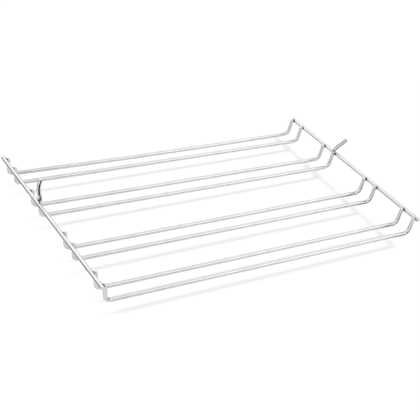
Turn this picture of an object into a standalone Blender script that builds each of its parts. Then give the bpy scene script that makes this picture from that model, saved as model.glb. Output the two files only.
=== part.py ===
"""Oven side rack: four pairs of bent wire runners welded across two straight uprights."""

import math

import bmesh
import bpy
from mathutils import Vector

# Driving sizes, in metres
RUNNER_DIAMETER = 0.0046
UPRIGHT_DIAMETER = 0.0046
UPRIGHT_SPACING = 0.400  # between the axes of the two uprights
UPRIGHT_LIFT = 0.0188  # axis of an upright above the axis of the runners
PAIR_SPACING = 0.0206  # between the two runners of one level
LEVEL_SPAN = 0.2234  # from the top level to the lowest one
LEVEL_SHARES = (0.308, 0.3755, 0.3165)  # of that span, from each level to the next one down
LEFT_OVERHANGS = (0.0069, 0.0035)  # upright beyond the top runner and beyond the lowest one
RIGHT_OVERHANGS = (0.0040, 0.0047)
RISER_LEAN = math.radians(6.2)  # outward lean of the upturned runner ends
RISER_SHORTFALL = 0.0009  # end of a runner below the crown of the upright
BEND_RADIUS = 0.0070  # to the axis of the wire
WELD_SINK = 0.0008  # how far the two wires of a weld are pressed into each other
WELD_CLEARANCE = 0.0003  # left round the upright where a runner is seated on it
CUT_EDGE = 0.0003  # broken edge of a sheared wire end

# The hooked wire: where each hook leaves the line of the riser, above the axis of the
# upright, then the length and outward lean of its straight parts and the bend before each
HOOK_LEVEL = 2
LEFT_HOOK_START = 0.0003
LEFT_HOOK_LENGTHS = (0.0160, 0.0117)
LEFT_HOOK_LEANS = (math.radians(11), math.radians(-6))
LEFT_HOOK_BENDS = (0.011, 0.022)
RIGHT_HOOK_START = 0.0050
RIGHT_HOOK_LENGTHS = (0.0206,)
RIGHT_HOOK_LEANS = (math.radians(56),)
RIGHT_HOOK_BENDS = (0.011,)

# Colour, metallic and roughness of the plating
CHROME_COLOUR = (0.74, 0.75, 0.76, 1.0)
CHROME_METALLIC = 1.0
CHROME_ROUGHNESS = 0.14

# Length of the seat cutters beyond the uprights
CUTTER_OVERRUN = 0.010

# Fineness of the mesh
RING_SIDES = 16
BEND_STEP = math.radians(11)

# Derived sizes
FLAT_SHARE = math.cos(math.pi / RING_SIDES)  # middle of a flat, as a share of the radius
RUNNER_RADIUS = RUNNER_DIAMETER / 2
UPRIGHT_RADIUS = UPRIGHT_DIAMETER / 2
RUNNER_AXIS_HEIGHT = RUNNER_RADIUS * FLAT_SHARE
UPRIGHT_AXIS_HEIGHT = RUNNER_AXIS_HEIGHT + UPRIGHT_LIFT
RISER_TOP = UPRIGHT_AXIS_HEIGHT + UPRIGHT_RADIUS - RISER_SHORTFALL
UPRIGHT_OUT = UPRIGHT_SPACING / 2
SEAT_OUT = UPRIGHT_OUT - (RUNNER_RADIUS + UPRIGHT_RADIUS - WELD_SINK)
LEVEL_COUNT = len(LEVEL_SHARES) + 1
RUNNER_SPAN = LEVEL_SPAN + PAIR_SPACING
TOP_OVERHANG = max(LEFT_OVERHANGS[0], RIGHT_OVERHANGS[0])
FOOT_OVERHANG = max(LEFT_OVERHANGS[1], RIGHT_OVERHANGS[1])
TOP_RUNNER_Y = (RUNNER_SPAN + FOOT_OVERHANG - TOP_OVERHANG) / 2
LOWEST_RUNNER_Y = TOP_RUNNER_Y - RUNNER_SPAN


def riser_out(height):
    """Distance of a riser's axis from the middle of the uprights, at a height above the floor."""
    return SEAT_OUT + (height - UPRIGHT_AXIS_HEIGHT) * math.tan(RISER_LEAN)


def hooked_end(start, lengths, leans, bends):
    """Corners of a hook as (outward, up), and the radii of the bends at all but the last."""
    height = UPRIGHT_AXIS_HEIGHT + start
    corners = [(riser_out(height), height)]
    for length, lean in zip(lengths, leans):
        outward, up = corners[-1]
        corners.append((outward + length * math.sin(lean), up + length * math.cos(lean)))
    return corners, bends


def new_collection(name):
    collection = bpy.data.collections.new(name)
    bpy.context.scene.collection.children.link(collection)
    return collection


def chrome(name):
    material = bpy.data.materials.new(name)
    material.use_nodes = True
    shader = material.node_tree.nodes["Principled BSDF"]
    shader.inputs["Base Color"].default_value = CHROME_COLOUR
    shader.inputs["Metallic"].default_value = CHROME_METALLIC
    shader.inputs["Roughness"].default_value = CHROME_ROUGHNESS
    return material


def rounded_path(corners, radii):
    """The points of a line through the corners, with the inner corners rounded to the radii."""
    points = [corners[0]]
    for before, corner, after, radius in zip(corners, corners[1:], corners[2:], radii):
        back = (before - corner).normalized()
        ahead = (after - corner).normalized()
        half = back.angle(ahead) / 2
        reach = radius / math.tan(half)
        centre = corner + (back + ahead).normalized() * radius / math.sin(half)
        start = corner + back * reach - centre
        finish = corner + ahead * reach - centre
        steps = max(2, math.ceil(start.angle(finish) / BEND_STEP))
        for step in range(steps + 1):
            points.append(centre + start.slerp(finish, step / steps) * radius)
    return points + [corners[-1]]


def wire_mesh(name, points, radius, cut_edge):
    """A round wire along the points, one flat of it facing down, with flat sheared ends."""
    curve = bpy.data.curves.new(name, "CURVE")
    curve.dimensions = "3D"
    curve.bevel_depth = radius
    curve.bevel_resolution = RING_SIDES // 2 - 2
    curve.use_fill_caps = True
    spline = curve.splines.new("POLY")
    spline.points.add(len(points) - 1)
    for target, point in zip(spline.points, points):
        target.co = (*point, 1)
        target.tilt = math.pi / RING_SIDES
    guide = bpy.data.objects.new(name, curve)
    bpy.context.scene.collection.objects.link(guide)
    bpy.context.view_layer.update()
    graph = bpy.context.evaluated_depsgraph_get()
    mesh = bpy.data.meshes.new_from_object(guide.evaluated_get(graph))
    bpy.data.objects.remove(guide)
    shape = bmesh.new()
    shape.from_mesh(mesh)
    bmesh.ops.remove_doubles(shape, verts=shape.verts, dist=1e-6)
    if cut_edge:
        caps = [face for face in shape.faces if len(face.verts) > 4]
        rims = [edge for cap in caps for edge in cap.edges]
        bmesh.ops.bevel(shape, geom=rims, offset=cut_edge, segments=1, affect="EDGES")
    bmesh.ops.recalc_face_normals(shape, faces=shape.faces)
    for face in shape.faces:
        face.smooth = True
    shape.to_mesh(mesh)
    shape.free()
    mesh.set_sharp_from_angle(angle=math.radians(35))
    mesh.materials.append(plating)
    return mesh


def straight_mesh(name, half_length, radius, cut_edge):
    ends = [Vector((0, -half_length, 0)), Vector((0, half_length, 0))]
    return wire_mesh(name, ends, radius, cut_edge)


def runner_mesh(name, left_end, right_end):
    """A level runner with its two ends turned up, each given as (corners, radii)."""
    corner = riser_out(RUNNER_AXIS_HEIGHT)
    corners = [Vector((-out, 0, up)) for out, up in reversed(left_end[0])]
    corners.append(Vector((-corner, 0, RUNNER_AXIS_HEIGHT)))
    corners.append(Vector((corner, 0, RUNNER_AXIS_HEIGHT)))
    corners += [Vector((out, 0, up)) for out, up in right_end[0]]
    radii = [*reversed(left_end[1]), BEND_RADIUS, BEND_RADIUS, *right_end[1]]
    return wire_mesh(name, rounded_path(corners, radii), RUNNER_RADIUS, CUT_EDGE)


def place(name, mesh, location, collection):
    obj = bpy.data.objects.new(name, mesh)
    obj.parent = frame
    obj.location = location
    collection.objects.link(obj)
    return obj


def add_upright(side, name, overhangs):
    """One upright, and the slightly larger cylinder that cuts the seats of the runners."""
    top = TOP_RUNNER_Y + overhangs[0]
    foot = LOWEST_RUNNER_Y - overhangs[1]
    half = (top - foot) / 2
    spot = (side * UPRIGHT_OUT, (top + foot) / 2, UPRIGHT_AXIS_HEIGHT)
    mesh = straight_mesh(f"{name}_upright", half, UPRIGHT_RADIUS, CUT_EDGE)
    place(f"{name}_upright", mesh, spot, rack)
    longer = half + CUTTER_OVERRUN
    wider = straight_mesh(f"{name} seat", longer, UPRIGHT_RADIUS + WELD_CLEARANCE, 0)
    cutter = place(f"{name} seat", wider, spot, cutters)
    cutter.hide_render = True
    cutter.display_type = "WIRE"
    return cutter


def add_runner(name, mesh, y):
    """One runner, with the shallow saddles by which it is seated on the two uprights."""
    runner = place(name, mesh, (0, y, 0), rack)
    for cutter in seat_cutters:
        seat = runner.modifiers.new("weld seat", "BOOLEAN")
        seat.operation = "DIFFERENCE"
        seat.solver = "EXACT"
        seat.object = cutter


for leftover in list(bpy.data.objects):
    bpy.data.objects.remove(leftover)

rack = new_collection("oven side rack")
cutters = new_collection("seat cutters")
plating = chrome("bright chrome")

plain_end = ([(riser_out(RISER_TOP), RISER_TOP)], [])
left_hook = hooked_end(LEFT_HOOK_START, LEFT_HOOK_LENGTHS, LEFT_HOOK_LEANS, LEFT_HOOK_BENDS)
right_hook = hooked_end(RIGHT_HOOK_START, RIGHT_HOOK_LENGTHS, RIGHT_HOOK_LEANS, RIGHT_HOOK_BENDS)
plain_runner = runner_mesh("plain runner", plain_end, plain_end)
hook_runner = runner_mesh("hook runner", left_hook, right_hook)

# The origin is in the middle of the overall length, as far as the tip of the longer hook
beside_upright = UPRIGHT_OUT + UPRIGHT_RADIUS * FLAT_SHARE
left_reach = max(beside_upright, *(-vertex.co.x for vertex in hook_runner.vertices))
right_reach = max(beside_upright, *(vertex.co.x for vertex in hook_runner.vertices))
frame = bpy.data.objects.new("rack frame", None)
frame.location = ((left_reach - right_reach) / 2, 0, 0)
rack.objects.link(frame)

seat_cutters = [
    add_upright(-1, "left", LEFT_OVERHANGS),
    add_upright(1, "right", RIGHT_OVERHANGS),
]

# Runners, from the top level down
level_y = TOP_RUNNER_Y
for level in range(1, LEVEL_COUNT + 1):
    lower_mesh = hook_runner if level == HOOK_LEVEL else plain_runner
    add_runner(f"level_{level}_upper_runner", plain_runner, level_y)
    add_runner(f"level_{level}_lower_runner", lower_mesh, level_y - PAIR_SPACING)
    if level < LEVEL_COUNT:
        level_y -= LEVEL_SPAN * LEVEL_SHARES[level - 1]
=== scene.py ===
"""Oven side rack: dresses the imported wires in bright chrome, with their welds, on a white floor."""

import math

import bmesh
import bpy
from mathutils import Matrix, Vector, noise


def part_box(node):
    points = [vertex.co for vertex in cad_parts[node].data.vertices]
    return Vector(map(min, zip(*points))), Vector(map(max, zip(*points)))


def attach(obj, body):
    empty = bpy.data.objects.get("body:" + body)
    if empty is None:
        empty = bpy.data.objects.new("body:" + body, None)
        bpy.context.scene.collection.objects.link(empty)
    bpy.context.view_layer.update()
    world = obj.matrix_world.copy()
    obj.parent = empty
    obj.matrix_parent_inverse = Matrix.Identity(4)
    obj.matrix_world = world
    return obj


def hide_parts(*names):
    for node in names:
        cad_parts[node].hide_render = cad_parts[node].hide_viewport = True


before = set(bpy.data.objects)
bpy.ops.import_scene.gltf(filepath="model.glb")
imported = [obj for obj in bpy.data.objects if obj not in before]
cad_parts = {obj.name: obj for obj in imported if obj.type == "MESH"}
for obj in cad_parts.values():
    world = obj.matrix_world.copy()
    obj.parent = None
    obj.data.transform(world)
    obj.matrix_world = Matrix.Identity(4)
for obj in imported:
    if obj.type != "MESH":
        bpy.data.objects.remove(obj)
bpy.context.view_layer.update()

# Wire, in metres. It is 0.1 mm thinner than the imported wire, so that its round sides stay
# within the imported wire's flat ones
WIRE_RADIUS = 0.00225
RUNNER_Z = 0.0022558  # axis of the runners above the plane that they lie on
SEAT_OFFSET = 0.0038  # axis of a riser inward from the axis of its upright
RISER_LEAN = math.radians(6.2)
RISER_SHORTFALL = 0.0009  # end of a runner below the crown of the upright
BEND_RADIUS = 0.0070
CUT_EDGE = 0.0003  # broken edge of a sheared wire end
TOP_RUNNER_BOW = 0.0022

# Hooks: the start above the upright's axis, then the length, the lean in degrees and the
# bend radius of each straight part
HOOKED_RUNNER = "level_2_lower_runner"
LEFT_HOOK = (0.0003, ((0.0160, 11, 0.011), (0.0117, -6, 0.022)))
RIGHT_HOOK = (0.0050, ((0.0206, 56, 0.011),))

# Weld marks: burnt metal and painted crevice shade where two wires meet, as their middle beside
# the joint along Y and above the upright's axis, then their half length along Y and half thickness
WELD_BURN_AND_SHADE_MARKS = {-1: (0.0008, 0.0015, 0.0050, 0.0016), 1: (-0.0016, 0.0000, 0.0030, 0.0021)}
# How dark each weld's burnt metal and painted crevice shade are, from the top runner down
LEFT_WELD_BURN_AND_SHADE = (1.0, 0.65, 1.0, 0.9, 0.7, 0.5, 0.9, 1.0)
RIGHT_WELD_BURN_AND_SHADE = (1.0, 0.75, 0.9, 1.0, 1.0, 0.85, 0.9, 0.5)
# Painted dark reflections on the hooks above their welds, as the side, the middle and the half sizes
HOOK_PAINTED_REFLECTIONS = (
    (-1, (-0.0034, -0.0021, 0.0050), (0.0012, 0.0012, 0.0036)),
    (1, (-0.0047, -0.0013, 0.0064), (0.0013, 0.0013, 0.0034)),
)
MARK_EDGE = 3.5  # how fast a mark reaches its full darkness from its rim inward

# Weld beads: radius, what the darkest crevice adds to it, and how uneven it is
BEAD_RADIUS = 0.00036
BEAD_SWELL = 0.00032
BEAD_UNEVENNESS = 0.6
BEAD_GRAIN = 900  # scale of the unevenness, for each metre
BEAD_STAIN = 0.25  # how dark a bead is away from its crevice

# Chrome: the plating's two greys, the burnt metal that also paints the welds' crevice shade and
# the hooks' dark reflections, the plating's range of roughness and what a weld adds to it
PLATING_DARK = (0.65, 0.66, 0.67, 1)
PLATING_BRIGHT = (0.71, 0.71, 0.705, 1)
BURNT_METAL_AND_PAINTED_SHADE = (0.02, 0.019, 0.018, 1)
PLATING_ROUGHNESS = (0.06, 0.13)
WELD_ROUGHNESS = 0.25
LINES_PER_METRE = (60, 9000, 1)  # scale of the drawn lines, along the wire and round it
WAVES_PER_METRE = 70
PITS_PER_METRE = 1800

# Floor: the shadows fall apart from the wires, as on paper under a clear sheet, and the paper
# slopes a little under the rack
FLOOR_Z = -0.0205
FLOOR_SLOPE = (0.008, 0.034)  # rise in each metre along X and along Y
SLOPED_HALF = (0.25, 0.17)
FLOOR_HALF = 6
PAPER_GREY = (0.80, 0.80, 0.80, 1)
PAPER_GLOW = (1.13, 1.45)  # under the rack, and past the ends of the ramps below
GLOW_RAMP_LEFT = (-0.170, -0.208)  # along X, where the shadows fade
GLOW_RAMP_AWAY = (0.5, 1.5)  # distance from the middle of the rack
GLOW_SEEN = 0.60  # share of the glow in what the camera sees
GLOW_MIRRORED = 0.15  # share of the glow in what the chrome mirrors

# World: what lights the rack, and what the camera and the chrome see
WORLD_LIGHT = 0.27
WORLD_WHITE = 1.0

# Softboxes: azimuth and elevation in degrees, width, height and radiance. Azimuth 0 is behind
# a viewer who looks along +Y, and 90 is on the side of +X
SOFTBOX_DISTANCE = 2.0
SOFTBOXES = {
    "right_softbox": (55, 30, 1.9, 2.3, 0.38),
    "left_softbox": (-155, 36, 1.9, 1.6, 0.38),
    "front_softbox": (-35, 36, 1.6, 1.6, 0.45),
    "rear_softbox": (143, 25, 1.5, 0.9, 0.30),
}
KEY_DIRECTION = Vector((0.20, -0.414, 1))
KEY_ENERGY = 2.3
KEY_SOFTNESS = math.radians(13)

# Black cards round the rack: first and last azimuth in degrees, radius and top
SURROUND = {
    "dark_surround": (70, 235, 2.6, 0.5),
    "low_surround": (15, 70, 2.6, 0.34),
    "rear_card": (158, 200, 2.5, 1.3),
    "right_card": (48, 92, 1.6, 0.75),
    "front_card": (-22, 19, 2.5, 1.75),
}
CARD_STEP = 5  # degrees in each flat of a curved card
# Flat cards close to the rack: the grey sheet on the floor under the right upright, which the
# chrome mirrors as painted shade, as its low and high X and half length, the slats
# as their low and high X, top, first Y, spacing and number
PAINTED_SHADE_STRIP = (0.188, 0.222, 0.2)
SLATS = (-0.45, -0.222, 0.006, -0.11, 0.03, 14)
ABOVE_FLOOR = 0.0005
# Black cards at the hooks: X of the left ones' centre and their radius, then their first and
# last azimuth, low and high edge, and the right one's corners in X and Z and how far it
# stands behind its hook
LEFT_HOOK_X = -0.2045
LEFT_HOOK_CARD_RADIUS = 0.008
LEFT_HOOK_CARDS = {
    "left_hook_top": (-15, 60, 0.041, 0.047),
    "left_hook_middle": (-45, 28, 0.0245, 0.041),
}
RIGHT_HOOK_CARD = ((0.1885, 0.0262), (0.2085, 0.0398), (0.2060, 0.0466), (0.1855, 0.0335))
RIGHT_HOOK_CARD_BEHIND = 0.0035

# Camera, at the photograph's viewpoint
CAMERA_PLACE = (-0.59105, -0.78006, 0.58530)
CAMERA_TURN = (58.2727, -9.2179, -31.2347)
CAMERA_LENS = 85.686
SENSOR_WIDTH = 36

# Fineness of the meshes
RING = 32
BEND_STEP = math.radians(5)
LONG_STEP = 0.004  # along the straight of a runner
FINE_STEP = 0.0006  # elsewhere, so that the marks have clear rims
BEAD_SPOTS = 40
BEAD_RING = 8
SHARP_ANGLE = math.radians(30)


def middle(node):
    low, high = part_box(node)
    return (Vector(low) + Vector(high)) / 2


def ends_y(node):
    low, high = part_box(node)
    return low[1], high[1]


# Places, from the frame
left_axis = middle("left_upright")
right_axis = middle("right_upright")
MIDDLE_X = (left_axis.x + right_axis.x) / 2
UPRIGHT_OUT = (right_axis.x - left_axis.x) / 2
UPRIGHT_Z = left_axis.z
RISER_TOP = UPRIGHT_Z + WIRE_RADIUS - RISER_SHORTFALL
RUNNERS = [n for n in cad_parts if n.endswith("runner")]
RUNNERS.sort(key=lambda node: -middle(node).y)


def add_node(tree, kind, values):
    """A shader node of the kind, with these values in its sockets."""
    node = tree.nodes.new("ShaderNode" + kind)
    for socket, value in values.items():
        node.inputs[socket].default_value = value
    return node


def calculated(tree, operation, *terms):
    """The output of a math node whose terms are numbers or other nodes' outputs."""
    node = add_node(tree, "Math", {})
    node.operation = operation
    for socket, term in zip(node.inputs, terms):
        if isinstance(term, float):
            socket.default_value = term
        else:
            tree.links.new(term, socket)
    return node.outputs[0]


def ramped(tree, value, start, finish, low, high):
    """The output of a node that takes start..finish to low..high, and holds them beyond."""
    limits = {"From Min": start, "From Max": finish, "To Min": low, "To Max": high}
    node = add_node(tree, "MapRange", limits)
    tree.links.new(value, node.inputs["Value"])
    return node.outputs["Result"]


def seen_and_mirrored(tree):
    """Two outputs: 1 on the camera's own rays, and 1 on those that metal or glass sends on."""
    kind = add_node(tree, "LightPath", {}).outputs
    mirrored = calculated(tree, "MAXIMUM", kind["Is Glossy Ray"], kind["Is Transmission Ray"])
    return kind["Is Camera Ray"], mirrored


def noise_texture(tree, place, scale, detail):
    """The output of a noise texture that reads its place from another node's output."""
    texture = add_node(tree, "TexNoise", {"Scale": scale, "Detail": detail})
    tree.links.new(place, texture.inputs["Vector"])
    return texture.outputs["Fac"]


def chrome():
    """Bright plating over drawn wire: faint lines along the wire, soft waves, and duller, darker
    welds, whose dark is burnt metal and painted crevice shade; the same dark paints reflections on
    the hooks.
    """
    material = bpy.data.materials.new("bright_chrome")
    material.use_nodes = True
    tree = material.node_tree
    links = tree.links
    shader = tree.nodes["Principled BSDF"]

    wire_map = add_node(tree, "UVMap", {})
    wire_map.uv_map = "wire"
    stretch = add_node(tree, "Mapping", {"Scale": LINES_PER_METRE})
    links.new(wire_map.outputs["UV"], stretch.inputs["Vector"])
    lines = noise_texture(tree, stretch.outputs["Vector"], 1, 4)
    place = add_node(tree, "TexCoord", {}).outputs["Object"]
    waves = noise_texture(tree, place, WAVES_PER_METRE, 3)
    pits = noise_texture(tree, place, PITS_PER_METRE, 3)
    burn_and_shade_attribute = add_node(tree, "Attribute", {})
    burn_and_shade_attribute.attribute_name = "weld"
    weld = burn_and_shade_attribute.outputs["Fac"]

    tint = add_node(tree, "ValToRGB", {})
    shades = tint.color_ramp.elements
    shades[0].position, shades[0].color = 0.35, PLATING_DARK
    shades[1].position, shades[1].color = 0.65, PLATING_BRIGHT
    links.new(waves, tint.inputs["Fac"])
    # The dark of the weld attribute: burnt metal, painted crevice shade, and painted dark reflections
    # on the hooks
    burn_and_shade = add_node(tree, "Mix", {})
    burn_and_shade.data_type = "RGBA"
    burn_and_shade.inputs["B"].default_value = BURNT_METAL_AND_PAINTED_SHADE
    links.new(weld, burn_and_shade.inputs["Factor"])
    links.new(tint.outputs["Color"], burn_and_shade.inputs["A"])
    links.new(burn_and_shade.outputs["Result"], shader.inputs["Base Color"])
    links.new(calculated(tree, "SUBTRACT", 1.0, weld), shader.inputs["Metallic"])

    rough = ramped(tree, pits, 0.3, 0.7, *PLATING_ROUGHNESS)
    duller = calculated(tree, "MULTIPLY_ADD", weld, WELD_ROUGHNESS, rough)
    links.new(duller, shader.inputs["Roughness"])

    line_bump = add_node(tree, "Bump", {"Strength": 0.25, "Distance": 0.00002})
    links.new(lines, line_bump.inputs["Height"])
    wave_bump = add_node(tree, "Bump", {"Strength": 0.5, "Distance": 0.0002})
    links.new(waves, wave_bump.inputs["Height"])
    links.new(line_bump.outputs["Normal"], wave_bump.inputs["Normal"])
    links.new(wave_bump.outputs["Normal"], shader.inputs["Normal"])
    return material


CHROME = chrome()


def add_mesh(name, shape, material):
    """A new object in the scene, from a bmesh that it uses up."""
    mesh = bpy.data.meshes.new(name)
    shape.to_mesh(mesh)
    shape.free()
    mesh.materials.append(material)
    made = bpy.data.objects.new(name, mesh)
    bpy.context.scene.collection.objects.link(made)
    return made


def rounded_path(corners, radii):
    """Points of a line through the corners, the inner corners rounded, straight runs divided."""
    points = [corners[0]]
    for before, corner, after, radius in zip(corners, corners[1:], corners[2:], radii):
        back = (before - corner).normalized()
        ahead = (after - corner).normalized()
        half = back.angle(ahead) / 2
        reach = radius / math.tan(half)
        centre = corner + (back + ahead).normalized() * radius / math.sin(half)
        start = corner + back * reach - centre
        finish = corner + ahead * reach - centre
        steps = max(3, math.ceil(start.angle(finish) / BEND_STEP))
        for step in range(steps + 1):
            points.append(centre + start.slerp(finish, step / steps) * radius)
    points.append(corners[-1])
    divided = [points[0]]
    for start, finish in zip(points, points[1:]):
        on_runner = abs(finish.z - start.z) < 1e-6 and start.z < UPRIGHT_Z - WIRE_RADIUS
        longest = LONG_STEP if on_runner else FINE_STEP
        pieces = max(1, round((finish - start).length / longest))
        divided += [start.lerp(finish, step / pieces) for step in range(1, pieces + 1)]
    return divided


def in_place(spot, side, y):
    """A spot near a joint, given outward, along Y and up from the upright's axis."""
    return Vector((MIDDLE_X + side * (UPRIGHT_OUT + spot[0]), y + spot[1], UPRIGHT_Z + spot[2]))


def weld_burn_and_shade_mark(side, y, strength):
    """The weld's mark of burnt metal and painted crevice shade on this side at this Y, as its middle,
    half sizes and strength.
    """
    beside, above, half_length, half_thickness = WELD_BURN_AND_SHADE_MARKS[side]
    spot = in_place((-SEAT_OFFSET / 2, beside, above), side, y)
    return spot, (half_thickness, half_length, half_thickness), strength


def mark_at(spot, mark):
    """How dark one mark makes a spot: 0 to 1."""
    centre, halves, strength = mark
    reach = Vector([off / half for off, half in zip(spot - centre, halves)]).length
    return strength * min(1.0, MARK_EDGE * max(0.0, 1 - reach))


def ring_sections(points):
    """The middle, direction, radius and distance of each ring of a wire, its ends chamfered."""
    along = [0.0]
    for start, finish in zip(points, points[1:]):
        along.append(along[-1] + (finish - start).length)
    sections = []
    for index, point in enumerate(points):
        before = points[max(index - 1, 0)]
        after = points[min(index + 1, len(points) - 1)]
        sections.append((point, (after - before).normalized(), WIRE_RADIUS, along[index]))
    first, first_way = sections[0][:2]
    last, last_way = sections[-1][:2]
    inner = WIRE_RADIUS - CUT_EDGE
    sections[0] = (first + first_way * CUT_EDGE, first_way, WIRE_RADIUS, CUT_EDGE)
    sections[-1] = (last - last_way * CUT_EDGE, last_way, WIRE_RADIUS, along[-1] - CUT_EDGE)
    return [(first, first_way, inner, 0.0), *sections, (last, last_way, inner, along[-1])]


def add_wire(name, points, side, marks, nodes):
    """A round wire along the points. side is a direction across it that stays square to the path."""
    shape = bmesh.new()
    uv = shape.loops.layers.uv.new("wire")
    dark = shape.verts.layers.float.new("weld")
    sections = ring_sections(points)
    rings = []
    for point, tangent, radius, _ in sections:
        up = tangent.cross(side).normalized()
        ring = []
        for step in range(RING):
            angle = 2 * math.pi * step / RING
            outward = side * math.cos(angle) + up * math.sin(angle)
            vertex = shape.verts.new(point + outward * radius)
            # Darkness from the marks: burnt metal and painted crevice shade at welds, painted dark
            # reflections on the hooks
            vertex[dark] = max(mark_at(vertex.co, mark) for mark in marks)
            ring.append(vertex)
        rings.append(ring)
    distances = [distance for *_, distance in sections]
    flat = 2 * math.pi * WIRE_RADIUS / RING
    for low, high, ring, following in zip(distances, distances[1:], rings, rings[1:]):
        for step in range(RING):
            nxt = (step + 1) % RING
            face = shape.faces.new((ring[step], ring[nxt], following[nxt], following[step]))
            corners = ((low, step), (low, step + 1), (high, step + 1), (high, step))
            for loop, (distance, turn) in zip(face.loops, corners):
                loop[uv].uv = (distance, turn * flat)
            face.smooth = True
    shape.faces.new(list(reversed(rings[0])))
    shape.faces.new(rings[-1])
    bmesh.ops.recalc_face_normals(shape, faces=shape.faces)
    made = add_mesh(name, shape, CHROME)
    made.data.set_sharp_from_angle(angle=SHARP_ANGLE)
    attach(made, "root")
    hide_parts(*nodes)


def riser_out(height):
    """Distance of a riser's axis from the middle of the uprights, at a height."""
    return UPRIGHT_OUT - SEAT_OFFSET + (height - UPRIGHT_Z) * math.tan(RISER_LEAN)


def hooked_end(start, parts):
    """Corners of a hook as (outward, up), and the radii of the bends at all but the last."""
    height = UPRIGHT_Z + start
    corners = [(riser_out(height), height)]
    for length, lean, _ in parts:
        outward, up = corners[-1]
        lean = math.radians(lean)
        corners.append((outward + length * math.sin(lean), up + length * math.cos(lean)))
    return corners, [radius for _, _, radius in parts]


def add_runner(node, welds):
    """A runner with its two ends turned up, the marks of its own two welds in burnt metal and painted
    crevice shade, and on the hooked runner painted dark reflections.
    """
    y = middle(node).y
    left = right = ([(riser_out(RISER_TOP), RISER_TOP)], [])
    marks = [weld_burn_and_shade_mark(*weld) for weld in welds]
    if node == HOOKED_RUNNER:
        left, right = hooked_end(*LEFT_HOOK), hooked_end(*RIGHT_HOOK)
        # Painted dark reflections on the hooks, in the colour of the burnt metal
        marks += [(in_place(spot, side, y), halves, 1.0) for side, spot, halves in HOOK_PAINTED_REFLECTIONS]
    corner = riser_out(RUNNER_Z)
    corners = [Vector((MIDDLE_X - out, y, up)) for out, up in reversed(left[0])]
    corners.append(Vector((MIDDLE_X - corner, y, RUNNER_Z)))
    corners.append(Vector((MIDDLE_X + corner, y, RUNNER_Z)))
    corners += [Vector((MIDDLE_X + out, y, up)) for out, up in right[0]]
    radii = [*reversed(left[1]), BEND_RADIUS, BEND_RADIUS, *right[1]]
    path = rounded_path(corners, radii)
    if node == RUNNERS[0]:
        for point in path:
            point.y -= TOP_RUNNER_BOW * max(0, 1 - ((point.x - MIDDLE_X) / corner) ** 2)
    add_wire(node + "_wire", path, Vector((0, 1, 0)), marks, [node])


def add_upright(node, side, welds):
    """A straight upright, and the marks of the welds on it, in burnt metal and painted crevice shade.
    """
    foot, top = ends_y(node)
    x = MIDDLE_X + side * UPRIGHT_OUT
    path = rounded_path([Vector((x, foot, UPRIGHT_Z)), Vector((x, top, UPRIGHT_Z))], [])
    marks = [weld_burn_and_shade_mark(*weld) for weld in welds]
    add_wire(node + "_wire", path, Vector((0, 0, 1)), marks, [node])


def joint_line(cap_z):
    """Where a riser meets its upright, as a closed row of spots from the upright's axis."""
    high = math.sqrt(WIRE_RADIUS**2 - (SEAT_OFFSET - WIRE_RADIUS) ** 2)
    capped = math.acos(min(1, cap_z / high))
    spots = []
    for index in range(BEAD_SPOTS):
        turn = 2 * math.pi * (index + 0.5) / BEAD_SPOTS - math.pi
        z = min(high * math.cos(turn), cap_z)
        across = -math.sqrt(WIRE_RADIUS**2 - z**2)
        off = math.sqrt(max(WIRE_RADIUS**2 - (across + SEAT_OFFSET) ** 2, 0))
        off *= max(-1, min(1, turn / capped)) if capped else math.copysign(1, turn)
        spots.append(Vector((across, off, z)))
    return spots


def add_weld_bead(name, weld, cap_z):
    """The metal pressed out round the joint: an uneven bead along the line where the wires meet."""
    side, y, _ = weld
    mark = weld_burn_and_shade_mark(*weld)
    shape = bmesh.new()
    stain_and_shade = shape.verts.layers.float.new("weld")
    shape.loops.layers.uv.new("wire")
    seed = Vector((side * 3, y * 50, 0))  # so that no two beads are alike
    spots = joint_line(cap_z)
    rings = []
    for index, spot in enumerate(spots):
        before, after = spots[index - 1], spots[(index + 1) % BEAD_SPOTS]
        tangent = (after - before).normalized()
        outward = (spot - Vector((-SEAT_OFFSET / 2, 0, 0))).normalized()
        outward = (outward - tangent * outward.dot(tangent)).normalized()
        other = tangent.cross(outward)
        dark = mark_at(in_place(spot, side, y), mark)
        unevenness = 1 + BEAD_UNEVENNESS * noise.noise(spot * BEAD_GRAIN + seed)
        radius = (BEAD_RADIUS + BEAD_SWELL * dark) * unevenness
        ring = []
        for step in range(BEAD_RING):
            angle = 2 * math.pi * step / BEAD_RING
            point = spot + (outward * math.cos(angle) + other * math.sin(angle)) * radius
            vertex = shape.verts.new(in_place(point, side, y))
            # Burnt stain of the bead, darkened further by the painted crevice shade at the crevice
            vertex[stain_and_shade] = BEAD_STAIN + (1 - BEAD_STAIN) * dark
            ring.append(vertex)
        rings.append(ring)
    for index, ring in enumerate(rings):
        following = rings[(index + 1) % BEAD_SPOTS]
        for step in range(BEAD_RING):
            nxt = (step + 1) % BEAD_RING
            face = shape.faces.new((ring[step], ring[nxt], following[nxt], following[step]))
            face.smooth = True
    bmesh.ops.recalc_face_normals(shape, faces=shape.faces)
    bead = add_mesh(name, shape, CHROME)
    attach(bead, "root")


# Wires, from the top runner down, and the beads of their welds. A weld is its side, its Y and
# how dark its burnt metal and painted crevice shade are
welds_of = {
    node: [(-1, middle(node).y, left), (1, middle(node).y, right)]
    for node, left, right in zip(RUNNERS, LEFT_WELD_BURN_AND_SHADE, RIGHT_WELD_BURN_AND_SHADE)
}
for node, welds in welds_of.items():
    add_runner(node, welds)
for node, side in (("left_upright", -1), ("right_upright", 1)):
    add_upright(node, side, [weld for own in welds_of.values() for weld in own if weld[0] == side])
for node, welds in welds_of.items():
    cap = WIRE_RADIUS if node == HOOKED_RUNNER else WIRE_RADIUS - RISER_SHORTFALL
    for word, weld in zip(("left", "right"), welds):
        add_weld_bead(f"{word}_weld_{node}", weld, cap)


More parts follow.
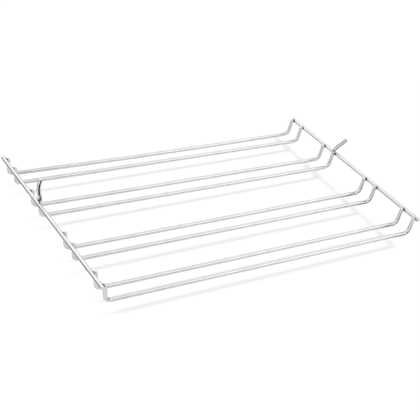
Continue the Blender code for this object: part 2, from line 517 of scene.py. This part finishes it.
def white_paper():
    """White paper that glows for the camera, more so at the left and away from the rack."""
    material = bpy.data.materials.new("white_paper")
    material.use_nodes = True
    tree = material.node_tree
    nodes, links = tree.nodes, tree.links
    nodes.remove(nodes["Principled BSDF"])
    lit = add_node(tree, "BsdfDiffuse", {"Color": PAPER_GREY})
    glow = add_node(tree, "Emission", {})
    place = add_node(tree, "NewGeometry", {}).outputs["Position"]
    along = add_node(tree, "SeparateXYZ", {})
    links.new(place, along.inputs["Vector"])
    away = add_node(tree, "VectorMath", {})
    away.operation = "LENGTH"
    links.new(place, away.inputs[0])
    at_left = ramped(tree, along.outputs["X"], *GLOW_RAMP_LEFT, *PAPER_GLOW)
    far_away = ramped(tree, away.outputs["Value"], *GLOW_RAMP_AWAY, *PAPER_GLOW)
    links.new(calculated(tree, "MAXIMUM", at_left, far_away), glow.inputs["Strength"])
    seen, mirrored = seen_and_mirrored(tree)
    mirrored_share = calculated(tree, "MULTIPLY", mirrored, GLOW_MIRRORED)
    share = calculated(tree, "MULTIPLY_ADD", seen, GLOW_SEEN, mirrored_share)
    both = add_node(tree, "MixShader", {})
    links.new(share, both.inputs["Fac"])
    links.new(lit.outputs["BSDF"], both.inputs[1])
    links.new(glow.outputs["Emission"], both.inputs[2])
    links.new(both.outputs["Shader"], nodes["Material Output"].inputs["Surface"])
    return material


# Floor: a sheet that slopes under the rack and keeps its edges' height beyond
floor_shape = bmesh.new()
rows = []
for y in (-FLOOR_HALF, -SLOPED_HALF[1], SLOPED_HALF[1], FLOOR_HALF):
    rows.append([])
    for x in (-FLOOR_HALF, -SLOPED_HALF[0], SLOPED_HALF[0], FLOOR_HALF):
        held = [max(-half, min(half, way)) for way, half in zip((x, y), SLOPED_HALF)]
        rise = FLOOR_SLOPE[0] * held[0] + FLOOR_SLOPE[1] * held[1]
        rows[-1].append(floor_shape.verts.new((x, y, rise)))
for near, far in zip(rows, rows[1:]):
    for step in range(len(near) - 1):
        floor_shape.faces.new((near[step], near[step + 1], far[step + 1], far[step]))
floor = add_mesh("floor", floor_shape, white_paper())
floor.location.z = FLOOR_Z

# World: a plain soft light that the camera and the chrome see as white
world = bpy.data.worlds.new("studio")
bpy.context.scene.world = world
world.use_nodes = True
tree = world.node_tree
backdrop = tree.nodes["Background"]
backdrop.inputs["Color"].default_value = (1, 1, 1, 1)
seen = calculated(tree, "MAXIMUM", *seen_and_mirrored(tree))
level = ramped(tree, seen, 0, 1, WORLD_LIGHT, WORLD_WHITE)
tree.links.new(level, backdrop.inputs["Strength"])


def add_softbox(name, azimuth, elevation, width, height, radiance):
    """A large lamp that faces the rack."""
    a, e = math.radians(azimuth), math.radians(elevation)
    away = Vector((math.sin(a) * math.cos(e), -math.cos(a) * math.cos(e), math.sin(e)))
    lamp = bpy.data.lights.new(name, "AREA")
    lamp.shape = "RECTANGLE"
    lamp.size = width
    lamp.size_y = height
    lamp.energy = radiance * math.pi * width * height
    made = bpy.data.objects.new(name, lamp)
    made.location = away * SOFTBOX_DISTANCE
    made.rotation_euler = away.to_track_quat("Z", "Y").to_euler()
    made.visible_camera = False
    bpy.context.scene.collection.objects.link(made)


def add_key_light():
    """The lamp that gives the shadows. The chrome doesn't mirror it."""
    lamp = bpy.data.lights.new("key_light", "SUN")
    lamp.energy = KEY_ENERGY
    lamp.angle = KEY_SOFTNESS
    made = bpy.data.objects.new("key_light", lamp)
    made.rotation_euler = KEY_DIRECTION.to_track_quat("Z", "Y").to_euler()
    made.visible_glossy = False
    bpy.context.scene.collection.objects.link(made)


def card_paper(name, shade):
    """Plain card with one face: from behind it isn't there."""
    material = bpy.data.materials.new(name)
    material.use_nodes = True
    tree = material.node_tree
    face = tree.nodes["Principled BSDF"]
    face.inputs["Base Color"].default_value = (shade, shade, shade, 1)
    face.inputs["Roughness"].default_value = 0.9
    behind = add_node(tree, "BsdfTransparent", {})
    geometry = add_node(tree, "NewGeometry", {})
    sides = add_node(tree, "MixShader", {})
    tree.links.new(geometry.outputs["Backfacing"], sides.inputs["Fac"])
    tree.links.new(face.outputs["BSDF"], sides.inputs[1])
    tree.links.new(behind.outputs["BSDF"], sides.inputs[2])
    tree.links.new(sides.outputs["Shader"], tree.nodes["Material Output"].inputs["Surface"])
    return material


def add_card(name, faces, material):
    """A studio card, seen only in the chrome, whose edges it gives their dark lines."""
    shape = bmesh.new()
    for corners in faces:
        shape.faces.new([shape.verts.new(corner) for corner in corners])
    card = add_mesh(name, shape, material)
    card.visible_camera = False
    card.visible_diffuse = False
    card.visible_shadow = False


def add_curved_card(name, start, finish, radius, low, high, centre):
    """Black card that stands round the centre and faces it."""
    steps = max(1, round((finish - start) / CARD_STEP))
    columns = []
    for step in range(steps + 1):
        a = math.radians(start + (finish - start) * step / steps)
        x, y = centre[0] + radius * math.sin(a), centre[1] - radius * math.cos(a)
        columns.append(((x, y, low), (x, y, high)))
    faces = [(*one, *reversed(two)) for one, two in zip(columns, columns[1:])]
    add_card(name, faces, BLACK_CARD)


BLACK_CARD = card_paper("black_card", 0.03)
GREY_CARD = card_paper("grey_card", 0.20)
PALE_CARD = card_paper("pale_card", 0.45)

# Lamps and cards
for name, values in SOFTBOXES.items():
    add_softbox(name, *values)
add_key_light()
for name, (start, finish, radius, top) in SURROUND.items():
    add_curved_card(name, start, finish, radius, FLOOR_Z, top, (0, 0))

low = FLOOR_Z + ABOVE_FLOOR
# Painted shade: a grey sheet on the floor under the right upright, seen only in the chrome
left, right, half = PAINTED_SHADE_STRIP
shade_strip = ((left, -half, low), (right, -half, low), (right, half, low), (left, half, low))
add_card("right_painted_shade_strip", [shade_strip], GREY_CARD)
left, right, top, first, spacing, count = SLATS
slats = []
for step in range(count):
    y = first + spacing * step
    slats.append(((left, y, low), (right, y, low), (right, y, top), (left, y, top)))
add_card("left_slats", slats, PALE_CARD)

hook_y = middle(HOOKED_RUNNER).y
hook_spot = (LEFT_HOOK_X, hook_y)
for name, (start, finish, low, high) in LEFT_HOOK_CARDS.items():
    add_curved_card(name, start, finish, LEFT_HOOK_CARD_RADIUS, low, high, hook_spot)
behind = hook_y + RIGHT_HOOK_CARD_BEHIND
add_card("right_hook_card", [[(x, behind, z) for x, z in RIGHT_HOOK_CARD]], BLACK_CARD)

# Camera
camera_data = bpy.data.cameras.new("camera")
camera_data.sensor_width = SENSOR_WIDTH
camera_data.lens = CAMERA_LENS
camera_data.clip_end = 20
camera = bpy.data.objects.new("camera", camera_data)
camera.location = CAMERA_PLACE
camera.rotation_euler = [math.radians(angle) for angle in CAMERA_TURN]
bpy.context.scene.collection.objects.link(camera)
bpy.context.scene.camera = camera
bpy.context.scene.view_settings.view_transform = "Standard"

bpy.context.view_layer.update()
